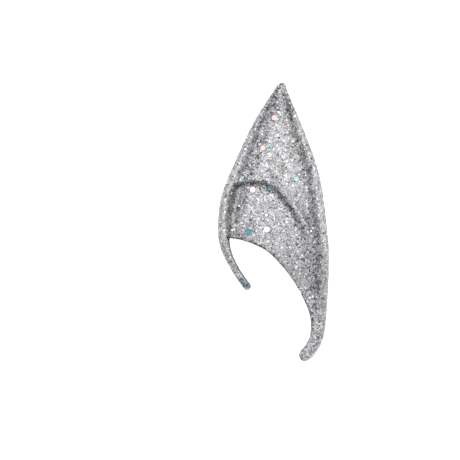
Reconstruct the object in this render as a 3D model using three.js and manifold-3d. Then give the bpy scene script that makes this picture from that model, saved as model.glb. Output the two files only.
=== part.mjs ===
// Elf ear tip: a soft latex costume piece that slips over the top of the wearer's ear.
//
// It is one hollow moulding. The front wall carries the sculpted relief, the back wall closes
// the pocket, and the mouth is open along an arch. Past the mouth the rolled rim runs on as a
// thin finger in front of the wearer's ear and as a tail behind it.
//
// The piece lies on its back, in millimetres: X runs across it, Y along it towards the point,
// and Z up from the flat of the back to the sculpted front. The origin is under the middle of
// its box.
import * as THREE from "three";
import { mergeVertices } from "three/addons/utils/BufferGeometryUtils.js";
import Module from "manifold-3d";

// Driving sizes
const earLength = 125; // from the point to the end of the tail
const earWidth = 49.6; // across the widest part, over both rims
const mouthDepth = 16; // from the flat of the back up to the rim's crest, beside the mouth
const latexWall = 1.4; // the moulding's wall
const rimWidth = 5; // the rolled rim, seen from the front
const rimRise = 3.2; // from the rim's outermost line up to its crest
const rimWall = 2.5; // latex between the outside of the rim and the pocket
const grooveInset = 7.2; // from the outside of the rim to the bottom of the groove beside it
const foldDepth = 3.2; // from the rim's crest down to the bottom of that groove
const panelRise = 1.3; // from the groove up to the panel between the two grooves
const panelRun = 6.5; // how far from the groove the panel reaches its level
const backFlare = 11; // from the outside of the rim in to where the back is flat
const backFullness = 2.3; // shape of the turn under the rim: 2 is an ellipse, more is squarer
const tipLift = 3.5; // how far the back of the point stands above the flat of the back
const tipRadius = 1.5; // rounding of the point
const tailRadius = 2.7; // rounding of the tail's end
const ridgeRise = 1.1; // how far the antihelix stands above the panel
const ridgeWidth = 2; // half width of the antihelix
const conchaDrop = 2.3; // from the panel down to the concha beneath the antihelix
const conchaRun = 3.4; // the distance over which the front falls into the concha
const conchaReturn = 1.1; // how far the concha's floor rises again towards the mouth
const fingerWidth = 3.7; // the finger, seen from the front
const fingerDepth = 4.1; // the finger's thickness from front to back
const fingerDroop = 4.6; // how far the finger's end lies below the rim's crest line

// Stations along the ear, from the tail's end to the point. along is a share of earLength; left
// and right, the edges, are shares of half of earWidth from the middle line; depth, the rim's
// crest above the flat of the back, is a share of mouthDepth; lift, of the back, is a share of
// tipLift; foldLeft and foldRight, the strength of each rim and groove, are shares of foldDepth.
// Between the tail and the mouth the left edge only has to lie inside the arch, which cuts it off.
const stations = [
  { along: 0.0, left: 0.455, right: 0.66, depth: 0.32, lift: 0.25, foldLeft: 0, foldRight: 0 },
  { along: 0.03, left: 0.465, right: 0.765, depth: 0.335, lift: 0.15, foldLeft: 0, foldRight: 0 },
  { along: 0.06, left: 0.58, right: 0.855, depth: 0.35, lift: 0.05, foldLeft: 0, foldRight: 0 },
  { along: 0.095, left: 0.662, right: 0.915, depth: 0.375, lift: 0, foldLeft: 0, foldRight: 0 },
  { along: 0.12, left: 0.672, right: 0.935, depth: 0.4, lift: 0, foldLeft: 0, foldRight: 0 },
  { along: 0.145, left: 0.625, right: 0.953, depth: 0.43, lift: 0, foldLeft: 0, foldRight: 0.08 },
  { along: 0.17, left: 0.5, right: 0.962, depth: 0.47, lift: 0, foldLeft: 0, foldRight: 0.3 },
  { along: 0.2, left: 0.26, right: 0.97, depth: 0.545, lift: 0, foldLeft: 0, foldRight: 0.75 },
  { along: 0.27, left: -0.38, right: 0.988, depth: 0.7, lift: 0, foldLeft: 0, foldRight: 1.3 },
  { along: 0.34, left: -0.8, right: 1.0, depth: 0.85, lift: 0, foldLeft: 0.4, foldRight: 1.35 },
  { along: 0.41, left: -0.98, right: 0.995, depth: 0.96, lift: 0, foldLeft: 0.9, foldRight: 1.2 },
  { along: 0.45, left: -1.0, right: 0.975, depth: 0.99, lift: 0, foldLeft: 0.95, foldRight: 1.1 },
  { along: 0.5, left: -1.0, right: 0.95, depth: 1.0, lift: 0, foldLeft: 0.95, foldRight: 1 },
  { along: 0.57, left: -0.962, right: 0.91, depth: 0.96, lift: 0, foldLeft: 0.95, foldRight: 1 },
  { along: 0.64, left: -0.86, right: 0.856, depth: 0.88, lift: 0, foldLeft: 1, foldRight: 1 },
  { along: 0.71, left: -0.706, right: 0.768, depth: 0.79, lift: 0.02, foldLeft: 1, foldRight: 1 },
  { along: 0.78, left: -0.548, right: 0.644, depth: 0.7, lift: 0.12, foldLeft: 1, foldRight: 1 },
  { along: 0.85, left: -0.378, right: 0.505, depth: 0.61, lift: 0.32, foldLeft: 1.05, foldRight: 1 },
  { along: 0.9, left: -0.23, right: 0.4, depth: 0.55, lift: 0.52, foldLeft: 1.15, foldRight: 1.1 },
  { along: 0.94, left: -0.1, right: 0.315, depth: 0.51, lift: 0.72, foldLeft: 1.25, foldRight: 1.2 },
  { along: 0.97, left: 0.0, right: 0.258, depth: 0.48, lift: 0.87, foldLeft: 0.8, foldRight: 0.7 },
  { along: 1.0, left: 0.095, right: 0.21, depth: 0.46, lift: 1, foldLeft: 0, foldRight: 0 },
];

// The antihelix's crest, from outside the left rim over the concha and down beside the right
// rim. across is a share of half of earWidth and along a share of earLength, as above; rise is a
// share of ridgeRise and drop, into the concha on its lower left, a share of conchaDrop.
const crest = [
  { across: -1.3, along: 0.57, rise: 0.2, drop: 0.9 },
  { across: -1.05, along: 0.612, rise: 0.25, drop: 0.9 },
  { across: -0.8, along: 0.638, rise: 0.35, drop: 0.95 },
  { across: -0.6, along: 0.648, rise: 0.6, drop: 1 },
  { across: -0.42, along: 0.653, rise: 0.8, drop: 1 },
  { across: -0.21, along: 0.653, rise: 1, drop: 1 },
  { across: -0.03, along: 0.641, rise: 1.05, drop: 1 },
  { across: 0.135, along: 0.614, rise: 1.05, drop: 0.95 },
  { across: 0.28, along: 0.58, rise: 1.05, drop: 0.9 },
  { across: 0.405, along: 0.546, rise: 1.05, drop: 0.85 },
  { across: 0.505, along: 0.514, rise: 1.05, drop: 0.75 },
  { across: 0.59, along: 0.474, rise: 1.0, drop: 0.65 },
  { across: 0.645, along: 0.43, rise: 0.85, drop: 0.5 },
  { across: 0.675, along: 0.38, rise: 0.6, drop: 0.35 },
  { across: 0.695, along: 0.33, rise: 0.4, drop: 0.2 },
  { across: 0.715, along: 0.27, rise: 0.15, drop: 0.1 },
  { across: 0.73, along: 0.2, rise: 0, drop: 0 },
];

// The arch of the mouth, from the finger's root to the tail, in the same shares.
const arch = [
  { across: -0.82, along: 0.443 },
  { across: -0.55, along: 0.434 },
  { across: -0.27, along: 0.413 },
  { across: -0.09, along: 0.391 },
  { across: 0.12, along: 0.35 },
  { across: 0.295, along: 0.307 },
  { across: 0.44, along: 0.264 },
  { across: 0.55, along: 0.221 },
  { across: 0.632, along: 0.183 },
  { across: 0.669, along: 0.155 },
  { across: 0.677, along: 0.13 },
  { across: 0.66, along: 0.11 },
];

// The finger's middle line, from inside the left rim to its end, in the same shares. fall is a
// share of fingerDroop, below the rim's crest line, and size of fingerWidth and fingerDepth.
const finger = [
  { across: -0.9, along: 0.49, fall: 0.4, size: 0.9 },
  { across: -0.9, along: 0.462, fall: 0.14, size: 1.1 },
  { across: -0.892, along: 0.437, fall: 0.02, size: 1.3 },
  { across: -0.838, along: 0.393, fall: 0.2, size: 1.14 },
  { across: -0.738, along: 0.35, fall: 0.42, size: 1.02 },
  { across: -0.61, along: 0.307, fall: 0.7, size: 1 },
  { across: -0.43, along: 0.259, fall: 1, size: 1.05 },
];

// Mesh fineness. The sections stand closest where the antihelix crosses them.
const bodySections = [
  { from: 0, to: 0.16, count: 6 },
  { from: 0.16, to: 0.44, count: 13 },
  { from: 0.44, to: 0.67, count: 33 },
  { from: 0.67, to: 1, count: 13 },
];
const endSections = 4; // over each rounded end
const rimPoints = 12; // across the front of a section, over each rim and groove
const panelPoints = 18; // and between the two grooves
const turnPoints = 6; // round the turn under each rim
const flatPoints = 3; // across the flat of the back
const pocketSections = 30;
const pocketRimPoints = 7;
const pocketPanelPoints = 9;
const fingerSections = 16;
const fingerSides = 12;
const archSteps = 3; // for each point of the arch
const crestSteps = 90;

// Shares that shape the sections
const edgeCrowding = 1.6; // how far a section's points crowd towards its two edges: 1 is not at all
const rimShare = 0.45; // the most of a section's width that one rim's points take
const levelWeight = 12; // how strongly the triangles' edges keep to one level of the relief
const narrowFlare = 0.42; // the most of a section's width that one turn takes
const dividing = { low: 0.35, high: 0.65 }; // where the left rim's profile gives way to the right
const floorStart = 8; // from the crest to where the concha's floor begins to rise
const floorRun = 16; // over which it rises

const pocketEnds = { tail: 0.178, tip: 0.915 }; // shares of earLength
const pocketRounding = 4; // over which the pocket closes at its two ends
const pocketShoulder = 1.5; // rounding of the pocket's front corners

const halfWidth = earWidth / 2;
const smooth = (t) => THREE.MathUtils.smoothstep(t, 0, 1);
const mix = THREE.MathUtils.lerp;

// A column of a table at any place along it, by a curve through the rows that never overshoots.
function readTable(rows, column, along) {
  const last = rows.length - 1;
  const at = THREE.MathUtils.clamp(along, rows[0].along, rows[last].along);
  let i = 0;
  while (i < last - 1 && at > rows[i + 1].along) i += 1;
  const secant = (j) => (rows[j + 1][column] - rows[j][column]) / (rows[j + 1].along - rows[j].along);
  const slope = (j) => {
    if (j === 0) return secant(0);
    if (j === last) return secant(last - 1);
    const [before, after] = [secant(j - 1), secant(j)];
    return before * after <= 0 ? 0 : (2 * before * after) / (before + after);
  };
  const span = rows[i + 1].along - rows[i].along;
  const t = (at - rows[i].along) / span;
  const start = (1 + 2 * t) * (1 - t) ** 2 * rows[i][column] + t * (1 - t) ** 2 * span * slope(i);
  const end = t ** 2 * (3 - 2 * t) * rows[i + 1][column] + t ** 2 * (t - 1) * span * slope(i + 1);
  return start + end;
}

// The ear's measures at one place along it, in millimetres.
function measuresAt(along) {
  const share = (column) => readTable(stations, column, along);
  const left = halfWidth * share("left");
  const right = halfWidth * share("right");
  const room = (right - left) / (2 * (grooveInset + panelRun));
  const folded = Math.min(1, Math.max(share("foldLeft"), share("foldRight")));
  const scale = room / (1 + room ** 4) ** 0.25; // the relief shrinks with it where the ear is narrow
  return {
    y: (along - 0.5) * earLength,
    left,
    right,
    depth: mouthDepth * share("depth"),
    lift: tipLift * share("lift"),
    foldLeft: share("foldLeft"),
    foldRight: share("foldRight"),
    scale,
    crestInset: mix(Math.min(2 * rimWidth, right - left), scale * rimWidth, folded) / 2,
    grooveRun: scale * (grooveInset - rimWidth / 2), // from the crest to the bottom of the groove
  };
}

// The antihelix's crest as points with their rise and drop, for nearest-point searches.
const crestLine = new THREE.SplineCurve(
  crest.map((row) => new THREE.Vector2(row.across * halfWidth, (row.along - 0.5) * earLength)),
);
const crestPoints = Array.from({ length: crestSteps + 1 }, (_, i) => {
  const t = i / crestSteps;
  const place = t * (crest.length - 1);
  const row = Math.min(Math.floor(place), crest.length - 2);
  const read = (column) => mix(crest[row][column], crest[row + 1][column], place - row);
  return { at: crestLine.getPoint(t), along: crestLine.getTangent(t), rise: read("rise"), drop: read("drop") };
});

// The front's height over its panel: up on the antihelix, down in the concha.
function reliefAt(x, y) {
  let nearest = crestPoints[0];
  let least = Infinity;
  for (const point of crestPoints) {
    const distance = Math.hypot(x - point.at.x, y - point.at.y);
    if (distance < least) [nearest, least] = [point, distance];
  }
  const turn = nearest.along.x * (y - nearest.at.y) - nearest.along.y * (x - nearest.at.x);
  const inside = turn < 0 ? least : -least; // positive on the concha's side
  const ridge = ridgeRise * nearest.rise * Math.exp(-((inside / ridgeWidth) ** 2));
  const fall = conchaDrop * smooth(inside / conchaRun);
  const back = conchaReturn * smooth((inside - floorStart) / floorRun);
  return ridge - nearest.drop * (fall - back);
}

// The rim's profile at a distance from the ear's edge: how far the front lies below the crest.
function rimProfile(distance, m) {
  const fromCrest = distance - m.crestInset;
  const toGroove = smooth(fromCrest / m.grooveRun);
  const toPanel = smooth((fromCrest - m.grooveRun) / (m.scale * panelRun));
  return foldDepth * toGroove - panelRise * toPanel;
}

// The rounding of the rim's outer half.
function rimRound(distance, m, rise, run) {
  const short = 1 - THREE.MathUtils.clamp(distance / run, 0, 1);
  return Math.min(rise, (m.depth - m.lift) / 2) * (1 - Math.sqrt(1 - short ** 2));
}

// Height of the sculpted front, before the rounding of its outer edges.
function frontHeight(x, m) {
  const fromLeft = x - m.left;
  const fromRight = m.right - x;
  const panelDrop = foldDepth - panelRise;
  const leftDip = panelDrop + m.foldLeft * (rimProfile(fromLeft, m) - panelDrop);
  const rightDip = panelDrop + m.foldRight * (rimProfile(fromRight, m) - panelDrop);
  const across = fromLeft / (m.right - m.left);
  const towardsRight = smooth((across - dividing.low) / (dividing.high - dividing.low));
  const clear = Math.min(fromLeft, fromRight) - m.crestInset;
  const window = m.scale * smooth(clear / m.grooveRun);
  return m.depth - m.scale * mix(leftDip, rightDip, towardsRight) + window * reliefAt(x, m.y);
}

// Places across a front of some width: crowded over both rims, even between them.
function placesAcross(width, rimCount, panelCount) {
  const zone = Math.min(grooveInset + panelRun, rimShare * width);
  const rim = Array.from({ length: rimCount }, (_, i) => zone * (i / rimCount) ** edgeCrowding);
  const panel = Array.from({ length: panelCount + 1 }, (_, i) => mix(zone, width - zone, i / panelCount));
  return [...rim, ...panel, ...rim.map((d) => width - d).reverse()];
}

// The turn from an edge point down to the flat of the back, without its first and last points.
function turnUnder(edge, flat) {
  return Array.from({ length: turnPoints - 1 }, (_, i) => {
    const angle = ((i + 1) / turnPoints) * (Math.PI / 2);
    const power = 2 / backFullness;
    const inward = 1 - Math.cos(angle) ** power;
    const downward = Math.sin(angle) ** power;
    return { x: mix(edge.x, flat.x, inward), z: mix(edge.z, flat.z, downward) };
  });
}

// One closed section: across the front from left to right, then back under the ear.
function closeSection(front, flatLeft, flatRight, y) {
  const first = front[0];
  const last = front[front.length - 1];
  const flat = Array.from({ length: flatPoints + 1 }, (_, i) => ({
    x: mix(flatRight.x, flatLeft.x, i / flatPoints),
    z: flatRight.z,
  }));
  const loop = [...front, ...turnUnder(last, flatRight), ...flat, ...turnUnder(first, flatLeft).reverse()];
  return loop.map((p) => new THREE.Vector3(p.x, y, p.z));
}

// Draws a section in towards its middle, for a rounded end. left is 0 at the end itself.
function shrink(section, remaining) {
  const box = new THREE.Box3().setFromPoints(section);
  const middle = box.getCenter(new THREE.Vector3());
  const kept = Math.sqrt(1 - (1 - Math.min(1, Math.max(0, remaining))) ** 2);
  for (const p of section) {
    p.x = mix(middle.x, p.x, kept);
    p.z = mix(middle.z, p.z, kept);
  }
  return section;
}

function outerSection(along) {
  const m = measuresAt(along);
  const width = m.right - m.left;
  const front = placesAcross(width, rimPoints, panelPoints).map((place) => {
    const x = m.left + place;
    const inward = Math.min(x - m.left, m.right - x);
    return { x, z: frontHeight(x, m) - rimRound(inward, m, rimRise, m.crestInset) };
  });
  const flare = Math.min(backFlare, narrowFlare * width);
  const flatLeft = { x: m.left + flare, z: m.lift };
  const flatRight = { x: m.right - flare, z: m.lift };
  const section = closeSection(front, flatLeft, flatRight, m.y);
  const fromTip = (1 - along) * earLength;
  const fromTail = along * earLength;
  return shrink(section, Math.min(fromTip / tipRadius, fromTail / tailRadius));
}

function pocketSection(along) {
  const m = measuresAt(along);
  const wall = m.scale * rimWall + (1 - m.scale) * latexWall;
  const [left, right] = [m.left + wall, m.right - wall];
  const front = placesAcross(right - left, pocketRimPoints, pocketPanelPoints).map((place) => {
    const x = left + place;
    const inward = Math.min(x - left, right - x);
    const shoulder = rimRound(inward, m, rimRise, pocketShoulder);
    return { x, z: frontHeight(x, m) - latexWall - shoulder };
  });
  const flare = Math.min(backFlare, narrowFlare * (m.right - m.left));
  const flatLeft = { x: m.left + flare, z: m.lift + latexWall };
  const flatRight = { x: m.right - flare, z: m.lift + latexWall };
  const section = closeSection(front, flatLeft, flatRight, m.y);
  const fromTip = (pocketEnds.tip - along) * earLength;
  const fromTail = (along - pocketEnds.tail) * earLength;
  return shrink(section, Math.min(fromTip, fromTail) / pocketRounding);
}

// How badly an edge would cut across the relief: its squared length, with height counted more.
function unevenness(p, q) {
  return (p.x - q.x) ** 2 + (p.y - q.y) ** 2 + levelWeight * (p.z - q.z) ** 2;
}

// A closed surface through sections of equal count. Each end closes on the middle of its section.
function loft(sections) {
  const count = sections[0].length;
  const middle = (section) => new THREE.Box3().setFromPoints(section).getCenter(new THREE.Vector3());
  const points = [...sections.flat(), middle(sections[0]), middle(sections[sections.length - 1])];
  const index = [];
  for (let s = 0; s < sections.length - 1; s += 1) {
    for (let i = 0; i < count; i += 1) {
      const [a, b] = [s * count + i, s * count + ((i + 1) % count)];
      const [c, d] = [a + count, b + count];
      const level = unevenness(points[b], points[c]) < unevenness(points[a], points[d]);
      if (level) index.push(a, b, c, b, d, c);
      else index.push(a, b, d, a, d, c);
    }
  }
  const [firstMiddle, lastMiddle] = [points.length - 2, points.length - 1];
  const lastStart = (sections.length - 1) * count;
  for (let i = 0; i < count; i += 1) {
    const next = (i + 1) % count;
    index.push(firstMiddle, next, i);
    index.push(lastMiddle, lastStart + i, lastStart + next);
  }
  return new THREE.BufferGeometry().setFromPoints(points).setIndex(index);
}

function evenPlaces(start, end, count) {
  return Array.from({ length: count }, (_, i) => mix(start, end, (i + 0.5) / count));
}

// Distances from a rounded end, close together towards the end itself.
function endPlaces(run) {
  return Array.from({ length: endSections }, (_, i) => {
    const angle = (Math.PI / 2) * ((i + 0.5) / endSections);
    return run * (1 - Math.cos(angle));
  });
}

function bodyGeometry() {
  const [tailRun, tipRun] = [tailRadius / earLength, tipRadius / earLength];
  const between = bodySections.flatMap((band) => (
    evenPlaces(Math.max(band.from, tailRun), Math.min(band.to, 1 - tipRun), band.count)
  ));
  const tail = endPlaces(tailRun);
  const tip = endPlaces(tipRun).map((d) => 1 - d).reverse();
  return loft([...tail, ...between, ...tip].map(outerSection));
}

function pocketGeometry() {
  const run = pocketRounding / earLength;
  const between = evenPlaces(pocketEnds.tail + run, pocketEnds.tip - run, pocketSections);
  const tail = endPlaces(run).map((d) => pocketEnds.tail + d);
  const tip = endPlaces(run).map((d) => pocketEnds.tip - d).reverse();
  return loft([...tail, ...between, ...tip].map(pocketSection));
}

// The space below the arch, which opens the pocket and parts the finger from the tail.
function archGeometry() {
  const place = (row) => new THREE.Vector2(row.across * halfWidth, (row.along - 0.5) * earLength);
  const first = place(arch[0]);
  const last = place(arch[arch.length - 1]);
  const outside = -earWidth;
  const shape = new THREE.Shape();
  shape.moveTo(first.x, first.y);
  shape.splineThru(arch.slice(1).map(place));
  shape.lineTo(last.x, last.y - 2 * latexWall);
  shape.lineTo(outside, last.y - 2 * latexWall);
  shape.lineTo(outside, first.y);
  const geometry = new THREE.ExtrudeGeometry(shape, {
    depth: 3 * mouthDepth,
    bevelEnabled: false,
    curveSegments: archSteps,
  });
  return geometry.translate(0, 0, -mouthDepth);
}

// The finger: an oval rod along its middle line, with a rounded end.
function fingerGeometry() {
  const centre = (row) => {
    const crestLevel = measuresAt(Math.max(row.along, arch[0].along)).depth;
    const below = (row.size * fingerDepth) / 2 + row.fall * fingerDroop;
    return new THREE.Vector3(row.across * halfWidth, (row.along - 0.5) * earLength, crestLevel - below);
  };
  const line = new THREE.CatmullRomCurve3(finger.map(centre));
  const sizes = new THREE.SplineCurve(finger.map((row, i) => new THREE.Vector2(i, row.size)));
  const up = new THREE.Vector3(0, 0, 1);
  const roundingShare = fingerWidth / 2 / line.getLength();
  const end = endPlaces(roundingShare).map((d) => 1 - d).reverse();
  const sections = [0, ...evenPlaces(0, 1 - roundingShare, fingerSections), ...end].map((share) => {
    const t = line.getUtoTmapping(share);
    const middle = line.getPoint(t);
    const across = new THREE.Vector3().crossVectors(up, line.getTangent(t)).normalize();
    const remaining = Math.min(1, (1 - share) / roundingShare);
    const size = sizes.getPoint(t).y * Math.sqrt(1 - (1 - remaining) ** 2);
    return Array.from({ length: fingerSides }, (_, i) => {
      const angle = (i / fingerSides) * 2 * Math.PI;
      const sideways = size * (fingerWidth / 2) * Math.cos(angle);
      const upward = size * (fingerDepth / 2) * Math.sin(angle);
      return middle.clone().addScaledVector(across, sideways).addScaledVector(up, upward);
    });
  });
  return loft(sections);
}

const wasm = await Module();
wasm.setup();

function toSolid(geometry) {
  const bare = geometry.clone();
  bare.deleteAttribute("normal");
  bare.deleteAttribute("uv");
  const merged = mergeVertices(bare);
  const solid = new wasm.Manifold(new wasm.Mesh({
    numProp: 3,
    vertProperties: merged.attributes.position.array,
    triVerts: new Uint32Array(merged.index.array),
  }));
  return solid;
}

function toGeometry(solid) {
  const mesh = solid.getMesh();
  const geometry = new THREE.BufferGeometry();
  geometry.setAttribute("position", new THREE.BufferAttribute(mesh.vertProperties, 3));
  geometry.setIndex(new THREE.BufferAttribute(mesh.triVerts, 1));
  return geometry;
}

const hollow = toSolid(bodyGeometry()).subtract(toSolid(pocketGeometry()));
const opened = hollow.subtract(toSolid(archGeometry()));
const shellSolid = opened.add(toSolid(fingerGeometry()));

const silverGlitter = new THREE.MeshStandardMaterial({ color: 0xb4b5b9, roughness: 0.4, metalness: 0.6 });
const earShell = new THREE.Mesh(toGeometry(shellSolid), silverGlitter);
earShell.name = "ear_shell";
earShell.geometry.computeVertexNormals();
earShell.geometry.computeBoundingBox();
const { min, max } = earShell.geometry.boundingBox;
earShell.position.set(-(min.x + max.x) / 2, -(min.y + max.y) / 2, -min.z);

const elfEarTip = new THREE.Group();
elfEarTip.add(earShell);

export default elfEarTip;
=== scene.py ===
# %% [markdown]
# # An elf ear tip in glitter-coated latex
#
# The real thing is one soft, hollow moulding of latex. It slips over the top of the ear: a thin
# finger lies in front of the ear, a tail behind it. The front is sculpted with a rolled rim, the
# grooves beside it, the fold called the antihelix and the bowl called the concha. A clear coat
# full of silver glitter covers it, with a few large coloured flakes.
#
# The lesson goes in this order: load the measured part, set the camera and lights, grow the
# latex from its sections, give it the glitter coat, then lay the large flakes on it one by one.

# %% Load the measured part
import math

import bpy
import numpy as np
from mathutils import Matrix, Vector
from mathutils.bvhtree import BVHTree


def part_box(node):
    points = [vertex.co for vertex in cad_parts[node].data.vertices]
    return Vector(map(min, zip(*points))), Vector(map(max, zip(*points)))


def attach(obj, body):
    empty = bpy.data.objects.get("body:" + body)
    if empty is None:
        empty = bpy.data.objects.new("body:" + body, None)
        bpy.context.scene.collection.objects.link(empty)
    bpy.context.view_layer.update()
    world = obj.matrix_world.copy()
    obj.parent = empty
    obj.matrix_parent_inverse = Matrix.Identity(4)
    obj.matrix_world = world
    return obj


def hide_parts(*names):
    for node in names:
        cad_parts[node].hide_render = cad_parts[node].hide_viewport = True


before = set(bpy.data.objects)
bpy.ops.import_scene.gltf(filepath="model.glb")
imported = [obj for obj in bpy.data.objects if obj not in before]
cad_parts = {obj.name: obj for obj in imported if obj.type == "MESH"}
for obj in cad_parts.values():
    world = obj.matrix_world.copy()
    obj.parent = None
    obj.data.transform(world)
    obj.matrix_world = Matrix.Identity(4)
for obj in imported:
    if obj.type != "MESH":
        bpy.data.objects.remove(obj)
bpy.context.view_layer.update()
MM = 0.001  # Blender works in metres, the tables below in millimetres
low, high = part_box("ear_shell")
print("measured part, mm:", [round((b - a) / MM, 1) for a, b in zip(low, high)])

# %% [markdown]
# ## Camera
#
# The photograph is a flat lay: the ear lies on its back and the camera looks straight down. A
# long lens far away keeps the outline free of perspective, as in a product picture. The picture
# is 460 pixels wide, and the ear takes up 280 of them from point to tail, which gives the width
# of the view. The ear stands to the right of the picture's middle.

# %% Camera
PICTURE_PX = 460
EAR_LENGTH_PX = 280
EAR_LENGTH = 125.0
EAR_MIDDLE_PX = (273.5, 222.0)
PX = EAR_LENGTH / EAR_LENGTH_PX  # millimetres in one pixel of the picture


def picture_place(px, py):
    """Where a pixel of the picture falls in the part's own frame, in millimetres."""
    return (px - EAR_MIDDLE_PX[0]) * PX, (EAR_MIDDLE_PX[1] - py) * PX


CAMERA_HEIGHT = 1.6
SENSOR_MM = 36.0
view_width = PICTURE_PX * PX * MM
camera_data = bpy.data.cameras.new("studio_camera")
camera_data.sensor_width = SENSOR_MM
camera_data.lens = SENSOR_MM * CAMERA_HEIGHT / view_width
camera = bpy.data.objects.new("studio_camera", camera_data)
bpy.context.scene.collection.objects.link(camera)
aim_x, aim_y = picture_place(PICTURE_PX / 2, PICTURE_PX / 2)
camera.location = (aim_x * MM, aim_y * MM, CAMERA_HEIGHT + (high[2] - low[2]) / 2)
bpy.context.scene.camera = camera
print("lens", round(camera_data.lens), "mm, view", round(view_width / MM, 1), "mm wide")

# %% [markdown]
# ## Node helper and colours
#
# Every material below is built from shader nodes. One small function adds a node, gives it its
# settings and fills or links its sockets. Colours are written as the sRGB hex values that a
# picture editor shows. Blender mixes light in linear values, so one function converts them.

# %% Node helper and colours


def linear(hex_colour):
    """An sRGB hex value such as #a0a0a0 as linear RGBA."""
    shares = [int(hex_colour[i : i + 2], 16) / 255 for i in (1, 3, 5)]
    return (*[c / 12.92 if c <= 0.04045 else ((c + 0.055) / 1.055) ** 2.4 for c in shares], 1.0)


def add_node(tree, kind, settings=None, sockets=None):
    """A new node. settings go on the node, sockets on its inputs, as a value or as a link."""
    node = tree.nodes.new(kind)
    for name, value in (settings or {}).items():
        setattr(node, name, value)
    for name, value in (sockets or {}).items():
        if isinstance(value, bpy.types.NodeSocket):
            tree.links.new(value, node.inputs[name])
        else:
            node.inputs[name].default_value = value
    return node


def new_material(name):
    material = bpy.data.materials.new(name)
    material.use_nodes = True
    material.node_tree.nodes.clear()
    return material, material.node_tree


def number(tree, operation, *values):
    """A number worked out in the shader, from values or links."""
    return add_node(tree, "ShaderNodeMath", {"operation": operation}, dict(enumerate(values))).outputs[0]


def vector(tree, operation, sockets):
    """A direction or place worked out in the shader."""
    return add_node(tree, "ShaderNodeVectorMath", {"operation": operation}, sockets).outputs[0]


def multiplied(tree, first, second):
    """Two colours multiplied."""
    settings = {"data_type": "RGBA", "blend_type": "MULTIPLY"}
    return add_node(tree, "ShaderNodeMix", settings, {0: 1.0, 6: first, 7: second}).outputs[2]


def in_millimetres(tree):
    """The node with the object's own coordinates, and those coordinates in millimetres."""
    place = add_node(tree, "ShaderNodeTexCoord")
    return place, vector(tree, "SCALE", {0: place.outputs["Object"], "Scale": 1 / MM})


print("mid grey #808080 is", round(linear("#808080")[0], 3), "in linear light")

# %% [markdown]
# ## Floor and light
#
# The picture was cut out on white, so the floor is plain white paper, lit from below as on a
# light table: its weak glow takes away most of the shadow. The light is soft and nearly
# overhead, from three softboxes in a bright room. The largest stands a little beyond the point,
# so faces that turn away from the point, such as the step under the antihelix and the edge of
# the mouth, are the dark ones. Glitter is thousands of tiny mirrors, and mirrors show the room,
# which gives the flakes their spread of brightness.

# %% Floor
FLOOR_SIDE = 3.0
FLOOR_GAP = 0.05  # millimetres under the part
PAPER_GLOW = 0.45
floor_mesh = bpy.data.meshes.new("paper_floor")
half = FLOOR_SIDE / 2
floor_corners = [(-half, -half, 0), (half, -half, 0), (half, half, 0), (-half, half, 0)]
floor_mesh.from_pydata(floor_corners, [], [(0, 1, 2, 3)])
floor = bpy.data.objects.new("paper_floor", floor_mesh)
floor.location.z = low[2] - FLOOR_GAP * MM
bpy.context.scene.collection.objects.link(floor)
paper, tree = new_material("matt white paper")
fibres = add_node(tree, "ShaderNodeTexNoise", sockets={"Scale": 900.0, "Detail": 4.0})
relief = add_node(
    tree,
    "ShaderNodeBump",
    sockets={"Strength": 0.05, "Distance": 0.05 * MM, "Height": fibres.outputs["Fac"]},
)
surface = add_node(
    tree,
    "ShaderNodeBsdfPrincipled",
    sockets={
        "Base Color": linear("#fbfbfb"),
        "Roughness": 0.9,
        "Normal": relief.outputs["Normal"],
        "Emission Color": linear("#ffffff"),
        "Emission Strength": PAPER_GLOW,
    },
)
add_node(tree, "ShaderNodeOutputMaterial", sockets={"Surface": surface.outputs["BSDF"]})
floor_mesh.materials.append(paper)
print("floor at z", round(floor.location.z / MM, 2), "mm")

# %% Lights
ROOM_STRENGTH = 1.45
SOFTBOXES = [
    # name, direction from the ear, distance, side, watts
    ("softbox_beyond_the_point", (0.15, 0.45, 0.9), 1.1, 0.8, 9.5),
    ("softbox_overhead_left", (-0.7, 0.1, 0.9), 1.2, 0.45, 2.0),
    ("softbox_overhead_right", (0.9, 0.0, 0.8), 1.2, 0.5, 4.0),
]
world = bpy.data.worlds.new("bright_room")
world.use_nodes = True
world.node_tree.nodes["Background"].inputs["Color"].default_value = linear("#f3f5f9")
world.node_tree.nodes["Background"].inputs["Strength"].default_value = ROOM_STRENGTH
bpy.context.scene.world = world
for name, direction, distance, side, watts in SOFTBOXES:
    data = bpy.data.lights.new(name, "AREA")
    data.shape = "SQUARE"
    data.size = side
    data.energy = watts
    box_light = bpy.data.objects.new(name, data)
    towards = Vector(direction).normalized()
    box_light.location = towards * distance
    box_light.rotation_euler = towards.to_track_quat("Z", "Y").to_euler()
    bpy.context.scene.collection.objects.link(box_light)
bpy.context.scene.view_settings.view_transform = "Standard"
print("lights:", [row[0] for row in SOFTBOXES])

# %% [markdown]
# ## The form of the ear
#
# A sculptor would model this in clay and cast latex in the mould. In code the form is a loft:
# a stack of cross-sections from the tail's end to the point, each drawn from a few measures in
# a short table. The numbers are the same that the measured part was made from, so both agree.
# Rows give shares of the length, of half the width and of the depth at the mouth.

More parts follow.
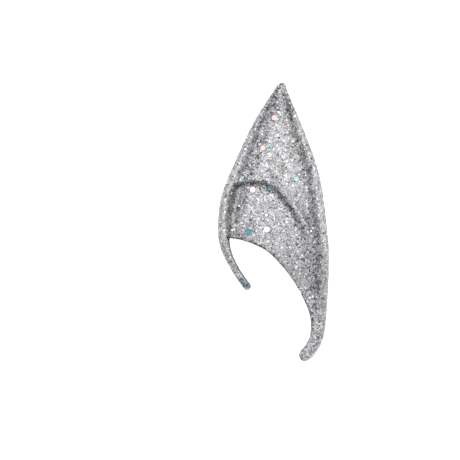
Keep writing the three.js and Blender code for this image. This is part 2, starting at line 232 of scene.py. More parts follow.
# %% Sizes and tables
WIDTH = 49.6
HALF = WIDTH / 2
MOUTH_DEPTH = 16.0
WALL = 1.4
RIM_WIDTH = 5.0
RIM_RISE = 3.2
RIM_WALL = 2.5
GROOVE_INSET = 7.2
FOLD_DEPTH = 3.2
PANEL_RISE = 1.3
PANEL_RUN = 6.5
BACK_FLARE = 11.0
BACK_FULLNESS = 2.3
TIP_LIFT = 3.5
TIP_RADIUS = 1.5
TAIL_RADIUS = 2.7
RIDGE_RISE = 1.1
RIDGE_WIDTH = 2.0
CONCHA_DROP = 2.3
CONCHA_RUN = 3.4
CONCHA_RETURN = 1.1
FINGER_WIDTH = 3.7
FINGER_DEPTH = 4.1
FINGER_DROOP = 4.6

STATIONS = {
    "along": (0, 0.03, 0.06, 0.095, 0.12, 0.145, 0.17, 0.2, 0.27, 0.34, 0.41,
              0.45, 0.5, 0.57, 0.64, 0.71, 0.78, 0.85, 0.9, 0.94, 0.97, 1),
    "left": (0.455, 0.465, 0.58, 0.662, 0.672, 0.625, 0.5, 0.26, -0.38, -0.8, -0.98,
             -1, -1, -0.962, -0.86, -0.706, -0.548, -0.378, -0.23, -0.1, 0, 0.095),
    "right": (0.66, 0.765, 0.855, 0.915, 0.935, 0.953, 0.962, 0.97, 0.988, 1, 0.995,
              0.975, 0.95, 0.91, 0.856, 0.768, 0.644, 0.505, 0.4, 0.315, 0.258, 0.21),
    "depth": (0.32, 0.335, 0.35, 0.375, 0.4, 0.43, 0.47, 0.545, 0.7, 0.85, 0.96,
              0.99, 1, 0.96, 0.88, 0.79, 0.7, 0.61, 0.55, 0.51, 0.48, 0.46),
    "lift": (0.25, 0.15, 0.05, 0, 0, 0, 0, 0, 0, 0, 0,
             0, 0, 0, 0, 0.02, 0.12, 0.32, 0.52, 0.72, 0.87, 1),
    "fold_left": (0, 0, 0, 0, 0, 0, 0, 0, 0, 0.4, 0.9,
                  0.95, 0.95, 0.95, 1, 1, 1, 1.05, 1.15, 1.25, 0.8, 0),
    "fold_right": (0, 0, 0, 0, 0, 0.08, 0.3, 0.75, 1.3, 1.35, 1.2,
                   1.1, 1, 1, 1, 1, 1, 1, 1.1, 1.2, 0.7, 0),
}
CREST = {
    "across": (-1.3, -1.05, -0.8, -0.6, -0.42, -0.21, -0.03, 0.135, 0.28,
               0.405, 0.505, 0.59, 0.645, 0.675, 0.695, 0.715, 0.73),
    "along": (0.57, 0.612, 0.638, 0.648, 0.653, 0.653, 0.641, 0.614, 0.58,
              0.546, 0.514, 0.474, 0.43, 0.38, 0.33, 0.27, 0.2),
    "rise": (0.2, 0.25, 0.35, 0.6, 0.8, 1, 1.05, 1.05, 1.05,
             1.05, 1.05, 1, 0.85, 0.6, 0.4, 0.15, 0),
    "drop": (0.9, 0.9, 0.95, 1, 1, 1, 1, 0.95, 0.9,
             0.85, 0.75, 0.65, 0.5, 0.35, 0.2, 0.1, 0),
}
ARCH = {
    "across": (-0.82, -0.55, -0.27, -0.09, 0.12, 0.295, 0.44, 0.55, 0.632, 0.669, 0.677, 0.66),
    "along": (0.443, 0.434, 0.413, 0.391, 0.35, 0.307, 0.264, 0.221, 0.183, 0.155, 0.13, 0.11),
}
FINGER = {
    "across": (-0.9, -0.9, -0.892, -0.838, -0.738, -0.61, -0.43),
    "along": (0.49, 0.462, 0.437, 0.393, 0.35, 0.307, 0.259),
    "fall": (0.4, 0.14, 0.02, 0.2, 0.42, 0.7, 1),
    "size": (0.9, 1.1, 1.3, 1.14, 1.02, 1, 1.05),
}
print(len(STATIONS["along"]), "stations,", len(CREST["across"]), "points on the antihelix")

# %% [markdown]
# ## Reading the tables
#
# Between two stations a value follows a smooth curve that never overshoots its rows, because
# an overshoot would put waves into the rim. The antihelix, the mouth and the finger are free
# lines, so those go through their points as splines.

# %% Reading the tables


def smooth(t):
    t = np.clip(t, 0, 1)
    return t * t * (3 - 2 * t)


def mix(a, b, t):
    return a + (b - a) * t


def read_station(name, along):
    """A column of the stations at any share of the length, without overshoot."""
    xs = np.array(STATIONS["along"], float)
    ys = np.array(STATIONS[name], float)
    rise = np.diff(ys) / np.diff(xs)
    slope = np.concatenate([rise[:1], np.zeros(len(xs) - 2), rise[-1:]])
    same_way = rise[:-1] * rise[1:] > 0
    total = np.where(same_way, rise[:-1] + rise[1:], 1)
    slope[1:-1] = np.where(same_way, 2 * rise[:-1] * rise[1:] / total, 0)
    at = np.clip(along, 0, 1)
    i = np.clip(np.searchsorted(xs, at, side="right") - 1, 0, len(xs) - 2)
    span = xs[i + 1] - xs[i]
    t = (at - xs[i]) / span
    start = (1 + 2 * t) * (1 - t) ** 2 * ys[i] + t * (1 - t) ** 2 * span * slope[i]
    end = t**2 * (3 - 2 * t) * ys[i + 1] + t**2 * (t - 1) * span * slope[i + 1]
    return start + end


def spline(values, places):
    """A smooth line through values, read at places counted in rows."""
    v = np.array(values, float)
    v = np.concatenate([v[:1], v, v[-1:]])
    i = np.clip(np.floor(places).astype(int), 0, len(values) - 2)
    t = places - i
    a, b, c, d = v[i], v[i + 1], v[i + 2], v[i + 3]
    slope_b, slope_c = (c - a) / 2, (d - b) / 2
    cubic = 2 * b - 2 * c + slope_b + slope_c
    square = 3 * c - 3 * b - 2 * slope_b - slope_c
    return cubic * t**3 + square * t**2 + slope_b * t + b


def measures(along):
    """The ear's measures at shares of its length, each as a column, in millimetres."""
    read = {name: read_station(name, along)[:, None] for name in STATIONS}
    left, right = HALF * read["left"], HALF * read["right"]
    room = (right - left) / (2 * (GROOVE_INSET + PANEL_RUN))
    folded = np.minimum(1, np.maximum(read["fold_left"], read["fold_right"]))
    round_rim = np.minimum(2 * RIM_WIDTH, right - left)
    scale = room / (1 + room**4) ** 0.25
    return {
        "y": (along[:, None] - 0.5) * EAR_LENGTH,
        "left": left,
        "right": right,
        "depth": MOUTH_DEPTH * read["depth"],
        "lift": TIP_LIFT * read["lift"],
        "fold_left": read["fold_left"],
        "fold_right": read["fold_right"],
        "scale": scale,
        "crest_inset": mix(round_rim, scale * RIM_WIDTH, folded) / 2,
        "groove_run": scale * (GROOVE_INSET - RIM_WIDTH / 2),
    }


middle = measures(np.array([0.5]))
print("at half length the ear is", round(float(middle["right"] - middle["left"]), 1), "mm wide")

# %% [markdown]
# ## The sculpted front
#
# Three things are added up: how far the front dips from the rim's crest into the groove and
# rises to the panel, the antihelix with its step down into the concha, and the rounding of the
# rim's outer half. The antihelix is drawn by distance from its crest line, positive on the side
# of the concha.

# %% The sculpted front
CREST_STEPS = 800
CREST_FLOOR_START = 8.0
CREST_FLOOR_RUN = 16.0
POINTS_AT_A_TIME = 4000  # keeps the table of distances small
SIDES_MEET = 0.35  # share of the width where the left fold begins to give way to the right one
SIDES_MEET_RUN = 0.3
crest_places = np.linspace(0, len(CREST["across"]) - 1, CREST_STEPS)
crest_x = spline(CREST["across"], crest_places) * HALF
crest_y = (spline(CREST["along"], crest_places) - 0.5) * EAR_LENGTH
rows = np.arange(len(CREST["across"]))
crest_rise = np.interp(crest_places, rows, CREST["rise"])
crest_drop = np.interp(crest_places, rows, CREST["drop"])
crest_along = np.stack([np.gradient(crest_x), np.gradient(crest_y)])


def beside_crest(x, y):
    """Distance from the crest line, positive in the concha, and the nearest step of the line."""
    inside = np.empty(x.size)
    nearest = np.empty(x.size, int)
    for start in range(0, x.size, POINTS_AT_A_TIME):
        part = slice(start, start + POINTS_AT_A_TIME)
        dx = x.flat[part][:, None] - crest_x
        dy = y.flat[part][:, None] - crest_y
        square = dx**2 + dy**2
        k = square.argmin(axis=1)
        row = np.arange(len(k))
        turn = crest_along[0][k] * dy[row, k] - crest_along[1][k] * dx[row, k]
        inside[part] = np.where(turn < 0, 1, -1) * np.sqrt(square[row, k])
        nearest[part] = k
    return inside.reshape(x.shape), nearest.reshape(x.shape)


def relief_at(x, y):
    """Height over the panel: up on the antihelix, down in the concha."""
    inside, k = beside_crest(x, y)
    ridge = RIDGE_RISE * crest_rise[k] * np.exp(-((inside / RIDGE_WIDTH) ** 2))
    fall = CONCHA_DROP * smooth(inside / CONCHA_RUN)
    back = CONCHA_RETURN * smooth((inside - CREST_FLOOR_START) / CREST_FLOOR_RUN)
    return ridge - crest_drop[k] * (fall - back)


def rim_profile(distance, m):
    from_crest = distance - m["crest_inset"]
    to_groove = smooth(from_crest / m["groove_run"])
    to_panel = smooth((from_crest - m["groove_run"]) / (m["scale"] * PANEL_RUN))
    return FOLD_DEPTH * to_groove - PANEL_RISE * to_panel


def rim_round(distance, m, run):
    short = 1 - np.clip(distance / run, 0, 1)
    return np.minimum(RIM_RISE, (m["depth"] - m["lift"]) / 2) * (1 - np.sqrt(1 - short**2))


def front_height(x, m):
    """Height of the front at x, before the rounding of its outer edges."""
    from_left, from_right = x - m["left"], m["right"] - x
    panel_drop = FOLD_DEPTH - PANEL_RISE
    left_dip = panel_drop + m["fold_left"] * (rim_profile(from_left, m) - panel_drop)
    right_dip = panel_drop + m["fold_right"] * (rim_profile(from_right, m) - panel_drop)
    to_right = smooth((from_left / (m["right"] - m["left"]) - SIDES_MEET) / SIDES_MEET_RUN)
    clear = np.minimum(from_left, from_right) - m["crest_inset"]
    window = m["scale"] * smooth(clear / m["groove_run"])
    y = np.broadcast_to(m["y"], x.shape)
    return m["depth"] - m["scale"] * mix(left_dip, right_dip, to_right) + window * relief_at(x, y)


# %% [markdown]
# ## Skinning the sections
#
# Each section is closed under the ear by a full, rounded turn down to the flat of the back. The
# points crowd towards the two edges, where the rim is roundest. A second, smaller loft is the
# hollow, a wall's thickness inside the first.

# %% Skinning the sections
RIM_POINTS = 44
RIM_CROWDING = 1.6
RIM_SHARE = 0.45  # of the width, at the most, for each rim with its groove
PANEL_POINTS = 90
TURN_POINTS = 26
FLAT_POINTS = 20
FLARE_SHARE = 0.42  # of the width, at the most, for each turn down to the flat of the back
END_SECTIONS = 10
BODY_SECTIONS = 330
BODY_FROM, BODY_TO = 0.022, 0.987
POCKET_SECTIONS = 160
POCKET_FROM, POCKET_TO = 0.178, 0.915
POCKET_END = 4.0
POCKET_ROUND = 1.5


def places_across(width):
    zone = np.minimum(GROOVE_INSET + PANEL_RUN, RIM_SHARE * width)
    rim = zone * (np.arange(RIM_POINTS) / RIM_POINTS) ** RIM_CROWDING
    panel = mix(zone, width - zone, np.linspace(0, 1, PANEL_POINTS + 1))
    return np.concatenate([rim, panel, (width - rim)[:, ::-1]], axis=1)


def close_section(x, z, flat_left, flat_right, flat_z, m, remaining):
    """Joins a front to its back, draws the ends in, and returns x, y and z as grids."""
    angle = np.arange(1, TURN_POINTS) / TURN_POINTS * math.pi / 2
    inward = 1 - np.cos(angle) ** (2 / BACK_FULLNESS)
    downward = np.sin(angle) ** (2 / BACK_FULLNESS)
    right_x, right_z = mix(x[:, -1:], flat_right, inward), mix(z[:, -1:], flat_z, downward)
    left_x, left_z = mix(x[:, :1], flat_left, inward), mix(z[:, :1], flat_z, downward)
    flat_x = mix(flat_right, flat_left, np.linspace(0, 1, FLAT_POINTS + 1))
    loop_x = np.concatenate([x, right_x, flat_x, left_x[:, ::-1]], axis=1)
    loop_z = np.concatenate([z, right_z, np.broadcast_to(flat_z, flat_x.shape), left_z[:, ::-1]], axis=1)
    kept = np.sqrt(1 - (1 - np.clip(remaining, 0, 1)) ** 2)[:, None]
    for loop in (loop_x, loop_z):
        centre = (loop.min(axis=1, keepdims=True) + loop.max(axis=1, keepdims=True)) / 2
        loop[:] = mix(centre, loop, kept)
    return loop_x, np.broadcast_to(m["y"], loop_x.shape), loop_z


def mesh_from_loops(name, x, y, z):
    """A closed mesh through loops of points, its ends closed by fans."""
    rows_count, count = x.shape
    points = np.stack([x.ravel(), y.ravel(), z.ravel()], axis=1)
    ends = np.stack([points[:count].mean(axis=0), points[-count:].mean(axis=0)])
    i = np.arange(count)
    j = (i + 1) % count
    starts = (np.arange(rows_count - 1) * count)[:, None]
    quads = np.stack([starts + i, starts + j, starts + count + j, starts + count + i], axis=2).reshape(-1, 4)
    last = (rows_count - 1) * count
    first_end, last_end = len(points), len(points) + 1
    fans = [(first_end, b, a) for a, b in zip(i, j)]
    fans += [(last_end, last + a, last + b) for a, b in zip(i, j)]
    mesh = bpy.data.meshes.new(name)
    faces = quads.tolist() + [tuple(map(int, f)) for f in fans]
    mesh.from_pydata((np.concatenate([points, ends]) * MM).tolist(), [], faces)
    mesh.validate()
    made = bpy.data.objects.new(name, mesh)
    bpy.context.scene.collection.objects.link(made)
    return made


def end_places(run):
    """Distances from a rounded end, close together towards the end itself."""
    return run * (1 - np.cos((np.arange(END_SECTIONS) + 0.5) / END_SECTIONS * math.pi / 2))


def body_loft():
    tail, tip = end_places(TAIL_RADIUS / EAR_LENGTH), 1 - end_places(TIP_RADIUS / EAR_LENGTH)[::-1]
    along = np.concatenate([tail, np.linspace(BODY_FROM, BODY_TO, BODY_SECTIONS), tip])
    m = measures(along)
    width = m["right"] - m["left"]
    place = places_across(width)
    x = m["left"] + place
    z = front_height(x, m) - rim_round(np.minimum(place, width - place), m, m["crest_inset"])
    flare = np.minimum(BACK_FLARE, FLARE_SHARE * width)
    remaining = np.minimum((1 - along) * EAR_LENGTH / TIP_RADIUS, along * EAR_LENGTH / TAIL_RADIUS)
    loops = close_section(x, z, m["left"] + flare, m["right"] - flare, m["lift"], m, remaining)
    return mesh_from_loops("latex_body", *loops)


def pocket_loft():
    run = POCKET_END / EAR_LENGTH
    tail = POCKET_FROM + end_places(run)
    tip = POCKET_TO - end_places(run)[::-1]
    between = np.linspace(POCKET_FROM + run, POCKET_TO - run, POCKET_SECTIONS)
    along = np.concatenate([tail, between, tip])
    m = measures(along)
    wall = m["scale"] * RIM_WALL + (1 - m["scale"]) * WALL
    width = m["right"] - m["left"] - 2 * wall
    place = places_across(width)
    x = m["left"] + wall + place
    z = front_height(x, m) - WALL - rim_round(np.minimum(place, width - place), m, POCKET_ROUND)
    flare = np.minimum(BACK_FLARE, FLARE_SHARE * (m["right"] - m["left"]))
    remaining = np.minimum(POCKET_TO - along, along - POCKET_FROM) * EAR_LENGTH / POCKET_END
    loops = close_section(x, z, m["left"] + flare, m["right"] - flare, m["lift"] + WALL, m, remaining)
    return mesh_from_loops("latex_hollow", *loops)


body = body_loft()
hollow = pocket_loft()
print("body", len(body.data.vertices), "points, hollow", len(hollow.data.vertices), "points")

# %% [markdown]
# ## The mouth and the finger
#
# The mouth is cut by an upright block whose edge follows the arch, as one would trim a casting
# with scissors. The finger is an oval rod swept along its own line, rising out of the left rim.

# %% The mouth and the finger
ARCH_STEPS = 120
FINGER_STEPS = 400
FINGER_SECTIONS = 90
FINGER_POINTS = 40


def arch_line(steps):
    """The mouth's edge seen from above, in millimetres."""
    places = np.linspace(0, len(ARCH["across"]) - 1, steps)
    return spline(ARCH["across"], places) * HALF, (spline(ARCH["along"], places) - 0.5) * EAR_LENGTH


def arch_block():
    x, y = arch_line(ARCH_STEPS)
    x = np.concatenate([x, [x[-1], -WIDTH, -WIDTH]])
    y = np.concatenate([y, [y[-1] - 2 * WALL, y[-1] - 2 * WALL, y[0]]])
    count = len(x)
    levels = (-MOUTH_DEPTH, 2 * MOUTH_DEPTH)
    points = [(px * MM, py * MM, pz * MM) for pz in levels for px, py in zip(x, y)]
    # The outline runs clockwise seen from above, so the sides wind the other way round.
    sides = [(i, i + count, (i + 1) % count + count, (i + 1) % count) for i in range(count)]
    mesh = bpy.data.meshes.new("mouth_block")
    ends = [tuple(range(count)), tuple(range(2 * count - 1, count - 1, -1))]
    mesh.from_pydata(points, [], ends + sides)
    made = bpy.data.objects.new("mouth_block", mesh)
    bpy.context.scene.collection.objects.link(made)
    return made


def finger_loft():
    rows_count = len(FINGER["across"])
    level = MOUTH_DEPTH * read_station("depth", np.maximum(FINGER["along"], ARCH["along"][0]))
    heights = level - np.array(FINGER["size"]) * FINGER_DEPTH / 2 - np.array(FINGER["fall"]) * FINGER_DROOP
    even = np.linspace(0, rows_count - 1, FINGER_STEPS)
    line = np.stack([
        spline(FINGER["across"], even) * HALF,
        (spline(FINGER["along"], even) - 0.5) * EAR_LENGTH,
        spline(heights, even),
    ], axis=1)
    length = np.concatenate([[0], np.cumsum(np.linalg.norm(np.diff(line, axis=0), axis=1))])
    rounding = FINGER_WIDTH / 2
    straight = np.linspace(0, length[-1] - rounding, FINGER_SECTIONS)
    stops = np.concatenate([straight, length[-1] - end_places(rounding)[::-1]])
    centre = np.stack([np.interp(stops, length, line[:, k]) for k in range(3)], axis=1)
    heading = np.gradient(centre, axis=0)
    size = np.interp(stops, length, spline(FINGER["size"], even))
    left_over = np.clip((length[-1] - stops) / rounding, 0, 1)
    size = size * np.sqrt(1 - (1 - left_over) ** 2)
    across = np.stack([-heading[:, 1], heading[:, 0]], axis=1)
    across /= np.linalg.norm(across, axis=1, keepdims=True)
    angle = np.arange(FINGER_POINTS) / FINGER_POINTS * 2 * math.pi
    sideways = size[:, None] * FINGER_WIDTH / 2 * np.cos(angle)
    x = centre[:, :1] + across[:, :1] * sideways
    y = centre[:, 1:2] + across[:, 1:] * sideways
    z = centre[:, 2:] + size[:, None] * FINGER_DEPTH / 2 * np.sin(angle)
    return mesh_from_loops("latex_finger", x, y, z)


mouth = arch_block()
finger = finger_loft()
finger_y = np.array([v.co.y for v in finger.data.vertices])
print("finger", round(np.ptp(finger_y) / MM, 1), "mm long down the picture")

# %% [markdown]
# ## One casting
#
# Boolean modifiers hollow the body, trim the mouth and weld the finger on. A voxel remesh then
# turns the result into one even skin, and a light smoothing rounds the trimmed edges the way
# dipped latex does. The voxel is under half a millimetre, finer than any fold.

# %% One casting
VOXEL = 0.45
for tool, operation in ((hollow, "DIFFERENCE"), (mouth, "DIFFERENCE"), (finger, "UNION")):
    cut = body.modifiers.new(tool.name, "BOOLEAN")
    cut.operation = operation
    cut.solver = "MANIFOLD"
    cut.object = tool
remesh = body.modifiers.new("even_skin", "REMESH")
remesh.mode = "VOXEL"
remesh.voxel_size = VOXEL * MM
soften = body.modifiers.new("dipped_edges", "SMOOTH")
soften.factor = 0.5
soften.iterations = 5
graph = bpy.context.evaluated_depsgraph_get()
shell_mesh = bpy.data.meshes.new_from_object(body.evaluated_get(graph))
shell_mesh.name = "ear_latex"
shell = bpy.data.objects.new("ear_latex", shell_mesh)
bpy.context.scene.collection.objects.link(shell)
for spent in (body, hollow, mouth, finger):
    bpy.data.objects.remove(spent)
shell_mesh.polygons.foreach_set("use_smooth", [True] * len(shell_mesh.polygons))
corner = np.empty(len(shell_mesh.vertices) * 3)
shell_mesh.vertices.foreach_get("co", corner)
corner = corner.reshape(-1, 3)
print("casting:", len(shell_mesh.polygons), "faces, box mm", np.round(np.ptp(corner, axis=0) / MM, 2))

# %% [markdown]
# ## Painted shade in the hollows
#
# Painted shade darkens the trimmed edge of the mouth, the bottom of the grooves and the crease
# under the antihelix. Every point of the skin gets the share of brightness that is left there.
# The material reads it as an attribute.

# %% Painted shade in the hollows
TRIM_WIDTH = 1.5
TRIM_PAINTED_SHADE = 0.3  # painted shade: brightness left on the trimmed edge of the mouth
GROOVE_WIDTH = 1.6
GROOVE_PAINTED_SHADE = 0.74  # painted shade: brightness left at the bottom of the grooves
CREASE_MIDDLE = 2.0
CREASE_WIDTH = 1.5
CREASE_PAINTED_SHADE = 0.7  # painted shade: brightness left in the crease under the antihelix
CREASE_START = 2.0  # millimetres inside the rim's crest over which the crease sets in
TRIM_STEPS = 160
# points left darker than this by the painted shade are counted
DEEP_PAINTED_SHADE = 0.7
gap = np.full(len(corner), np.inf)
for x, y in zip(*arch_line(TRIM_STEPS)):
    gap = np.minimum(gap, np.hypot(corner[:, 0] / MM - x, corner[:, 1] / MM - y))
trimmed = 1 - smooth(gap / TRIM_WIDTH)
at = measures(corner[:, 1] / MM / EAR_LENGTH + 0.5)
x, z = corner[:, :1] / MM, corner[:, 2:] / MM
bottom = at["crest_inset"] + at["groove_run"]
width = GROOVE_WIDTH * at["scale"]
left_groove = at["fold_left"] * np.exp(-(((x - at["left"] - bottom) / width) ** 2))
right_groove = at["fold_right"] * np.exp(-(((at["right"] - x - bottom) / width) ** 2))
groove = np.where(z > at["depth"] / 2, np.minimum(1, left_groove + right_groove), 0)[:, 0]
inside, nearest = beside_crest(corner[:, 0] / MM, corner[:, 1] / MM)
clear = np.minimum(x - at["left"], at["right"] - x) - at["crest_inset"]
crease = crest_drop[nearest] * np.exp(-(((inside - CREASE_MIDDLE) / CREASE_WIDTH) ** 2))
crease *= smooth(clear / CREASE_START)[:, 0]
# Painted shade: the brightness left at each point by the edge, groove and crease masks.
painted_shade_factor = np.ones(len(corner))
for least, shade_mask in ((TRIM_PAINTED_SHADE, trimmed), (GROOVE_PAINTED_SHADE, groove), (CREASE_PAINTED_SHADE, crease)):
    painted_shade_factor *= 1 - (1 - least) * shade_mask
shell_mesh.attributes.new("painted_shade_factor", "FLOAT", "POINT").data.foreach_set("value", painted_shade_factor)
print("points under deep painted shade:", int((painted_shade_factor < DEEP_PAINTED_SHADE).sum()), "of", len(corner))

# %% [markdown]
# ## The glitter coat
#
# Fine polyester glitter is cut at about 0.4 mm and stirred into a clear latex coat. Each flake
# is a flat mirror that settles at its own small angle. One flake per Voronoi cell does this in
# the shader: the cell's random colour tilts the normal, picks how bright the flake is, and gives
# a few of them a rainbow tint. A smooth clear coat lies over all of them.
#
# Two things break up the even sparkle. The glitter lies in clumps a few millimetres wide. And
# dark specks stand side by side with bright flakes where painted shade falls: in the hollows, the
# grooves and the crease, on the sides and at the trimmed edge. The colour is also made darker
# towards the point, with the same specks.

# %% The glitter coat
FLAKE_MM = 0.4
CLUMP_MM = 2.4  # the glitter lies thicker in some places than in others
GRIT_MM = 0.75  # a few fine flakes that stick together
SPECK_SHADE = 0.15  # how bright a dark speck is beside the others
SPECK_SHARE = 0.8  # the share of dark specks where painted shade and the darkening at the point go deepest
BARE_SHARE = 0.03  # and where nothing darkens it
SOFT_SHARE = 0.25  # how much of the painted shade and the darkening at the point shows as an even grey
POINT_BRIGHTNESS = 0.65  # the brightness kept at the point
DARKER_FROM, DARKER_TO = 42.0, 58.0  # millimetres along the ear over which the colour grows darker towards the point
PAINTED_SHADE_REACH_MM = 14.0  # how far off a wall the painted shade of a hollow reaches
FLAKE_TILT = 0.44
glitter, tree = new_material("moulded latex under silver glitter coat")
place, millimetres = in_millimetres(tree)
flakes = add_node(
    tree,
    "ShaderNodeTexVoronoi",
    sockets={"Vector": millimetres, "Scale": 1 / FLAKE_MM, "Randomness": 1.0},
)
chance = add_node(tree, "ShaderNodeSeparateColor", sockets={"Color": flakes.outputs["Color"]})


def ramp(tree, factor, stops, interpolation="LINEAR"):
    node = add_node(tree, "ShaderNodeValToRGB", sockets={"Fac": factor})
    node.color_ramp.interpolation = interpolation
    while len(node.color_ramp.elements) < len(stops):
        node.color_ramp.elements.new(1.0)
    for element, (position, colour) in zip(node.color_ramp.elements, stops):
        element.position = position
        element.color = linear(colour)
    return node


shade = ramp(
    tree,
    chance.outputs["Red"],
    [(0.0, "#525252"), (0.3, "#767676"), (0.7, "#929293"), (1.0, "#b8b8b9")],
)
# Painted shade: ambient occlusion darkens the colour in the hollows, the grooves and the crease, and low
# down near the floor.
painted_shade_occlusion = add_node(tree, "ShaderNodeAmbientOcclusion", {"samples": 8}, {"Distance": PAINTED_SHADE_REACH_MM * MM})
depth = ramp(
    tree,
    painted_shade_occlusion.outputs["AO"],
    [(0.4, "#302a29"), (0.66, "#868180"), (0.8, "#e0dfdf"), (0.9, "#ffffff")],
)
clouds = add_node(
    tree,
    "ShaderNodeTexNoise",
    sockets={"Vector": millimetres, "Scale": 1 / CLUMP_MM, "Detail": 3.0, "Roughness": 0.6},
)
clumps = ramp(tree, clouds.outputs["Fac"], [(0.32, "#cfcfcf"), (0.62, "#ffffff")])
# Painted shade: faces that turn from upright towards sideways are made darker.
upright = add_node(tree, "ShaderNodeSeparateXYZ", sockets={"Vector": place.outputs["Normal"]})
sides = ramp(tree, upright.outputs["Z"], [(0.0, "#a6a6a6"), (0.3, "#b4b4b4"), (0.7, "#ffffff")])
tint = ramp(
    tree,
    chance.outputs["Green"],
    [(0.0, "#ffffff"), (0.76, "#ffdcdc"), (0.84, "#e6e0f4"), (0.9, "#d6efee"), (0.96, "#f6ecd2")],
    "CONSTANT",
)
colour = multiplied(tree, shade.outputs["Color"], tint.outputs["Color"])
# Where painted shade falls, and towards the point, many flakes are nearly black, side by side with bright
# ones.
along = add_node(tree, "ShaderNodeSeparateXYZ", sockets={"Vector": millimetres})
# The colour grows darker towards the point.
darker_to_point = add_node(
    tree,
    "ShaderNodeMapRange",
    sockets={
        "Value": along.outputs["Y"],
        "From Min": DARKER_FROM,
        "From Max": DARKER_TO,
        "To Min": 1.0,
        "To Max": POINT_BRIGHTNESS,
    },
)
# Painted shade of the trimmed edge, the grooves and the crease, read from the skin's attribute.
painted_shade_read = add_node(tree, "ShaderNodeAttribute", {"attribute_name": "painted_shade_factor"})
# Painted shade from the hollows, the sides and the skin's attribute, multiplied with the darkening towards
# the point.
painted_shade_and_point = depth.outputs["Color"]
for share in (sides.outputs["Color"], darker_to_point.outputs["Result"], painted_shade_read.outputs["Fac"]):
    painted_shade_and_point = number(tree, "MULTIPLY", painted_shade_and_point, share)
soft = number(tree, "POWER", painted_shade_and_point, SOFT_SHARE)
dark_speck_share = number(tree, "MULTIPLY_ADD", painted_shade_and_point, -SPECK_SHARE, SPECK_SHARE + BARE_SHARE)
grit = add_node(tree, "ShaderNodeTexVoronoi", sockets={"Vector": millimetres, "Scale": 1 / GRIT_MM})
grit_chance = add_node(tree, "ShaderNodeSeparateColor", sockets={"Color": grit.outputs["Color"]})
spared = number(tree, "GREATER_THAN", grit_chance.outputs["Blue"], dark_speck_share)
specks = number(tree, "MULTIPLY_ADD", spared, 1 - SPECK_SHADE, SPECK_SHADE)
for layer in (clumps.outputs["Color"], soft, specks):
    colour = multiplied(tree, colour, layer)
centred = vector(tree, "SUBTRACT", {0: flakes.outputs["Color"], 1: (0.5, 0.5, 0.5)})
tilt = vector(tree, "SCALE", {0: centred, "Scale": FLAKE_TILT})
facing = add_node(tree, "ShaderNodeNewGeometry")
leaning = vector(tree, "ADD", {0: facing.outputs["Normal"], 1: tilt})
normal = vector(tree, "NORMALIZE", {0: leaning})
coat = add_node(
    tree,
    "ShaderNodeBsdfPrincipled",
    sockets={
        "Base Color": colour,
        "Metallic": 0.45,
        "Roughness": 0.48,
        "Coat Weight": 0.25,
        "Coat Roughness": 0.25,
        "Normal": normal,
    },
)
add_node(tree, "ShaderNodeOutputMaterial", sockets={"Surface": coat.outputs["BSDF"]})
shell_mesh.materials.clear()
shell_mesh.materials.append(glitter)
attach(shell, "root")
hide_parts("ear_shell")
print("flakes of", FLAKE_MM, "mm, about", round(1 / FLAKE_MM**2), "to the square millimetre")

# %% [markdown]
# ## The large flakes
#
# Among the fine glitter lie hexagonal flakes punched from coloured polyester film, 0.55 to 3 mm
# across. The few large ones are set where the photograph shows them: a ray is sent down onto the
# casting at that pixel, and the flake is laid flat on the surface that it meets. Hundreds of
# small ones are scattered by chance over the whole outside, from a fixed seed. Every flake is a
# closed prism, so it has real edges that catch the light.

# %% Flake maker
FLAKE_THICKNESS = 0.22  # most of it is sunk in the coat
FLAKE_PROUD = 0.07
FLAKE_LEAN = 0.05  # spread of the small angles at which they settle
EDGE_WAY = (0.31, 0.9, 0.2)  # a slanting direction that no flake faces squarely
skin = BVHTree.FromPolygons(corner.tolist(), [tuple(p.vertices) for p in shell_mesh.polygons])
chances = np.random.default_rng(5)


def film(name, hex_colour):
    """Coloured polyester film under the clear coat: a soft mirror, with fine glitter over it."""
    material, tree = new_material(name)
    _, millimetres = in_millimetres(tree)
    grains = add_node(tree, "ShaderNodeTexVoronoi", sockets={"Vector": millimetres, "Scale": 1 / FLAKE_MM})
    chance = add_node(tree, "ShaderNodeSeparateColor", sockets={"Color": grains.outputs["Color"]})
    over = ramp(
        tree,
        chance.outputs["Red"],
        [(0.0, "#000000"), (0.7, "#2a2a2a"), (0.88, "#9a9a9a"), (1.0, "#ffffff")],
    )
    mixed = add_node(
        tree,
        "ShaderNodeMix",
        {"data_type": "RGBA"},
        {0: over.outputs["Color"], 6: linear(hex_colour), 7: linear("#a5a7a7")},
    )
    surface = add_node(
        tree,
        "ShaderNodeBsdfPrincipled",
        sockets={
            "Base Color": mixed.outputs[2],
            "Metallic": 0.35,
            "Roughness": 0.32,
            "Coat Weight": 0.3,
            "Coat Roughness": 0.2,
        },
    )
    add_node(tree, "ShaderNodeOutputMaterial", sockets={"Surface": surface.outputs["BSDF"]})
    return material


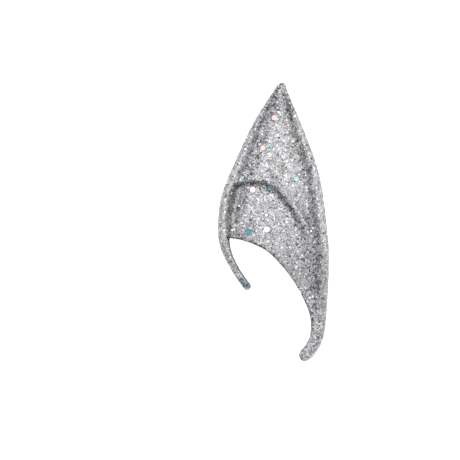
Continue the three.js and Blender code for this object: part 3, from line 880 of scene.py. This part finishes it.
def flake_mesh(name, centres, normals, widths, kinds, materials):
    """Hexagonal prisms laid on the surface, joined as one mesh. widths are across the flats."""
    count = len(centres)
    normals = normals + chances.normal(0, FLAKE_LEAN, (count, 3))
    normals /= np.linalg.norm(normals, axis=1, keepdims=True)
    aside = np.cross(normals, np.array(EDGE_WAY))
    aside /= np.linalg.norm(aside, axis=1, keepdims=True)
    ahead = np.cross(normals, aside)
    angle = chances.uniform(0, math.pi / 3, (count, 1)) + np.arange(6) * math.pi / 3
    radius = (np.array(widths) / math.sqrt(3) * MM)[:, None, None]
    ring = radius * (np.cos(angle)[..., None] * aside[:, None] + np.sin(angle)[..., None] * ahead[:, None])
    top = centres[:, None] + ring + normals[:, None] * FLAKE_PROUD * MM
    bottom = top - normals[:, None] * FLAKE_THICKNESS * MM
    points = np.concatenate([bottom, top], axis=1).reshape(-1, 3)
    edges = [(i, (i + 1) % 6, 6 + (i + 1) % 6, 6 + i) for i in range(6)]
    one = [tuple(range(5, -1, -1)), tuple(range(6, 12))] + edges
    faces = [tuple(12 * flake + i for i in face) for flake in range(count) for face in one]
    mesh = bpy.data.meshes.new(name)
    mesh.from_pydata(points.tolist(), [], faces)
    for material in materials:
        mesh.materials.append(material)
    mesh.polygons.foreach_set("material_index", np.repeat(kinds, len(one)).astype(np.int32))
    made = bpy.data.objects.new(name, mesh)
    bpy.context.scene.collection.objects.link(made)
    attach(made, "root")
    return made


# %% Large flakes from the photograph
FILMS = {
    "teal": "#1c6a74",
    "deep_teal": "#0b3a48",
    "dark_teal": "#2b4f5e",
    "light_teal": "#5f7f83",
    "pink": "#a88990",
    "cream": "#b2a79d",
    "white": "#b4b4b4",
    "silver": "#8c8c8b",
    "dark_blue": "#27304a",
    "lavender": "#7d8499",
    "black": "#151518",
}
SPOTS = [
    # pixel across, pixel down, millimetres across, film; the last lies over the crease
    (249.0, 232.7, 2.7, "teal"),
    (252.6, 189.8, 2.5, "pink"),
    (262.9, 148.0, 2.2, "cream"),
    (266.7, 229.4, 2.4, "white"),
    (245.5, 284.4, 2.5, "deep_teal"),
    (241.5, 280.0, 1.9, "dark_teal"),
    (296.5, 179.0, 2.2, "light_teal"),
    (274.3, 117.7, 2.3, "pink"),
    (271.6, 146.5, 1.3, "teal"),
    (296.4, 244.3, 1.2, "dark_blue"),
    (250.4, 220.2, 1.1, "black"),
    (276.8, 247.4, 1.5, "pink"),
    (267.9, 241.2, 1.3, "white"),
    (296.0, 267.0, 1.2, "white"),
    (310.7, 307.2, 1.2, "light_teal"),
    (323.7, 293.4, 1.1, "pink"),
    (312.5, 301.4, 1.5, "lavender"),
    (307.6, 301.4, 1.3, "pink"),
    (270.5, 187.7, 2.9, "dark_teal"),
]
LEVEL = [0.25] * (len(SPOTS) - 1) + [0.8]  # how far each flake bridges the hollows beneath it
BRIDGE_LIFT = 0.45  # millimetres that a wholly level flake is lifted
RAY_START = 100.0  # millimetres above the floor
films = [film(f"punched polyester film, {name.replace('_', ' ')}", value) for name, value in FILMS.items()]
centres, normals = [], []
for (px, py, _, _), level in zip(SPOTS, LEVEL):
    x, y = picture_place(px, py)
    met, normal, _, _ = skin.ray_cast(Vector((x * MM, y * MM, RAY_START * MM)), Vector((0, 0, -1)))
    centres.append(met + Vector((0, 0, BRIDGE_LIFT * level * MM)))
    normals.append(normal.lerp(Vector((0, 0, 1)), level))
kinds = [list(FILMS).index(spot[3]) for spot in SPOTS]
widths = [spot[2] for spot in SPOTS]
flake_mesh("large_flakes", np.array(centres), np.array(normals), widths, kinds, films)
print("large flakes:", len(SPOTS))

# %% [markdown]
# ## Flakes by chance
#
# Places on the casting are drawn by their share of the area. A place counts as outside when a
# ray along its normal meets nothing of the ear, which keeps these flakes out of the pocket.

# %% Small flakes over the whole outside
SMALL_COUNT = 900
SMALL_WIDTHS = (0.55, 0.95)
CLEARANCE = 0.3  # millimetres off the skin where the ray starts
LOOK_OUT = 40.0  # millimetres that have to be free
area = np.empty(len(shell_mesh.polygons))
centre = np.empty(len(shell_mesh.polygons) * 3)
facing_way = np.empty(len(shell_mesh.polygons) * 3)
shell_mesh.polygons.foreach_get("area", area)
shell_mesh.polygons.foreach_get("center", centre)
shell_mesh.polygons.foreach_get("normal", facing_way)
centre, facing_way = centre.reshape(-1, 3), facing_way.reshape(-1, 3)
drawn = chances.choice(len(area), 4 * SMALL_COUNT, replace=False, p=area / area.sum())


def is_outside(i):
    start = Vector(centre[i] + facing_way[i] * CLEARANCE * MM)
    return skin.ray_cast(start, Vector(facing_way[i]), LOOK_OUT * MM)[0] is None


outside = [i for i in drawn if is_outside(i)][:SMALL_COUNT]
SMALL_FILMS = {
    "white": 0.36,
    "cream": 0.12,
    "pink": 0.12,
    "light_teal": 0.08,
    "lavender": 0.08,
    "silver": 0.14,
    "black": 0.1,
}
names = chances.choice(list(SMALL_FILMS), len(outside), p=list(SMALL_FILMS.values()))
kinds = [list(FILMS).index(name) for name in names]
widths = chances.uniform(*SMALL_WIDTHS, len(outside))
flake_mesh("small_flakes", centre[outside], facing_way[outside], widths, kinds, films)
print("small flakes:", len(outside), "of", len(drawn), "places drawn")
